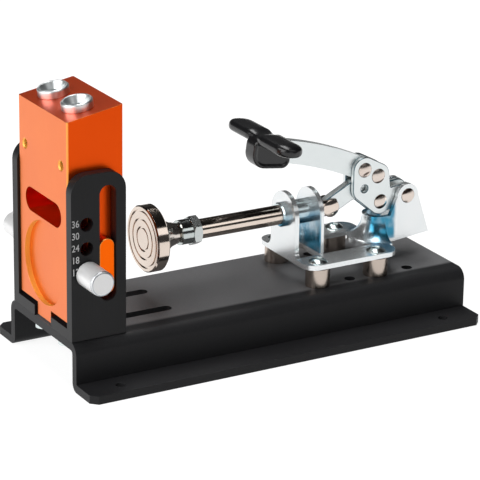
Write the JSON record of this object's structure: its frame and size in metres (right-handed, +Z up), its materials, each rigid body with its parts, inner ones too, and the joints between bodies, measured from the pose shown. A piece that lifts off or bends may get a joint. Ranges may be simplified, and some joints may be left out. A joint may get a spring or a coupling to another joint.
{
  "type": "pocket hole jig",
  "caption": "Pocket hole jig: sloped-top drill guide block sliding between slotted uprights on a folded steel base, with a push-pull toggle clamp that presses the board against it.",
  "frame": {"origin": "centre of the base's footprint, on the bench surface", "axes": "+X along the base from the drill guide to the clamp's rear, +Y across it away from the front side, +Z up"},
  "size_m": [0.265, 0.127, 0.166],
  "materials": {
    "powder_coat": "fine-textured black powder coat on steel sheet",
    "black_anodised": "satin black anodised aluminium angle",
    "orange_anodised": "satin orange anodised aluminium",
    "orange_key": "bright orange anodised aluminium",
    "bush_steel": "ground hardened steel",
    "bright_aluminium": "turned bright aluminium over a steel pin",
    "nickel": "polished nickel-plated steel",
    "zinc_screw": "zinc-plated steel fasteners",
    "zinc_plate": "blue-passivated zinc-plated steel sheet",
    "zinc_lever": "zinc-plated steel plate",
    "rivet": "nickel-plated steel rivets",
    "grip_vinyl": "glossy black moulded vinyl"
  },
  "bodies": {
    "base": {"base_plate": "powder_coat", "clamp_pillars": "nickel", "clamp_screws": "zinc_screw", "clamp_washers": "zinc_screw", "clamp_nuts": "zinc_screw", "clamp_body": "zinc_plate", "guide_tube": "zinc_plate", "pivot_rivet": "rivet"},
    "uprights": {"front_angle": "black_anodised", "rear_angle": "black_anodised", "foot_screws": "zinc_screw", "foot_washers": "zinc_screw"},
    "guide": {"guide_block": "orange_anodised", "slide_keys": "orange_key", "front_bush": "bush_steel", "rear_bush": "bush_steel"},
    "front_index": {"front_pin": "bright_aluminium"},
    "rear_index": {"rear_pin": "bright_aluminium"},
    "handle": {"front_lever": "zinc_lever", "rear_lever": "zinc_lever", "handle_bar": "zinc_lever", "handle_rivets": "rivet", "grip": "grip_vinyl", "link_rivet": "rivet"},
    "link": {"toggle_link": "zinc_lever"},
    "ram": {"plunger": "nickel", "plunger_pin": "nickel", "jam_nut": "zinc_screw"},
    "spindle": {"pad_spindle": "nickel"},
    "foot_pad": {"pad": "nickel"}
  },
  "joints": [
    {"name": "upright_slide", "type": "slide", "parent": "base", "child": "uprights", "axis": [1, 0, 0], "range_m": [0, 0.025]},
    {"name": "block_lift", "type": "slide", "parent": "uprights", "child": "guide", "axis": [0, 0, 1], "range_m": [0, 0.029]},
    {"name": "front_pin_pull", "type": "slide", "parent": "uprights", "child": "front_index", "axis": [0, -1, 0], "range_m": [0, 0.008]},
    {"name": "rear_pin_pull", "type": "slide", "parent": "uprights", "child": "rear_index", "axis": [0, 1, 0], "range_m": [0, 0.008]},
    {"name": "handle_swing", "type": "hinge", "parent": "base", "child": "handle", "pos_m": [0.1113, 0, 0.0696], "axis": [0, 1, 0], "range_deg": [0, 100]},
    {"name": "plunger_slide", "type": "slide", "parent": "base", "child": "ram", "axis": [1, 0, 0], "range_m": [0, 0.021]},
    {"name": "link_swing", "type": "hinge", "parent": "handle", "child": "link", "pos_m": [0.09362, 0, 0.06749], "axis": [0, 1, 0], "range_deg": [-139, 0]},
    {"name": "spindle_reach", "type": "slide", "parent": "ram", "child": "spindle", "axis": [-1, 0, 0], "range_m": [0, 0.008]},
    {"name": "pad_tilt", "type": "hinge", "parent": "spindle", "child": "foot_pad", "pos_m": [-0.06097, 0, 0.0683], "axis": [0, 1, 0], "range_deg": [-5, 5]}
  ],
  "couplings": [
    {"joint": "plunger_slide", "follows": "handle_swing", "m_per_rad": 0.0119},
    {"joint": "link_swing", "follows": "handle_swing", "ratio": -1.38}
  ]
}
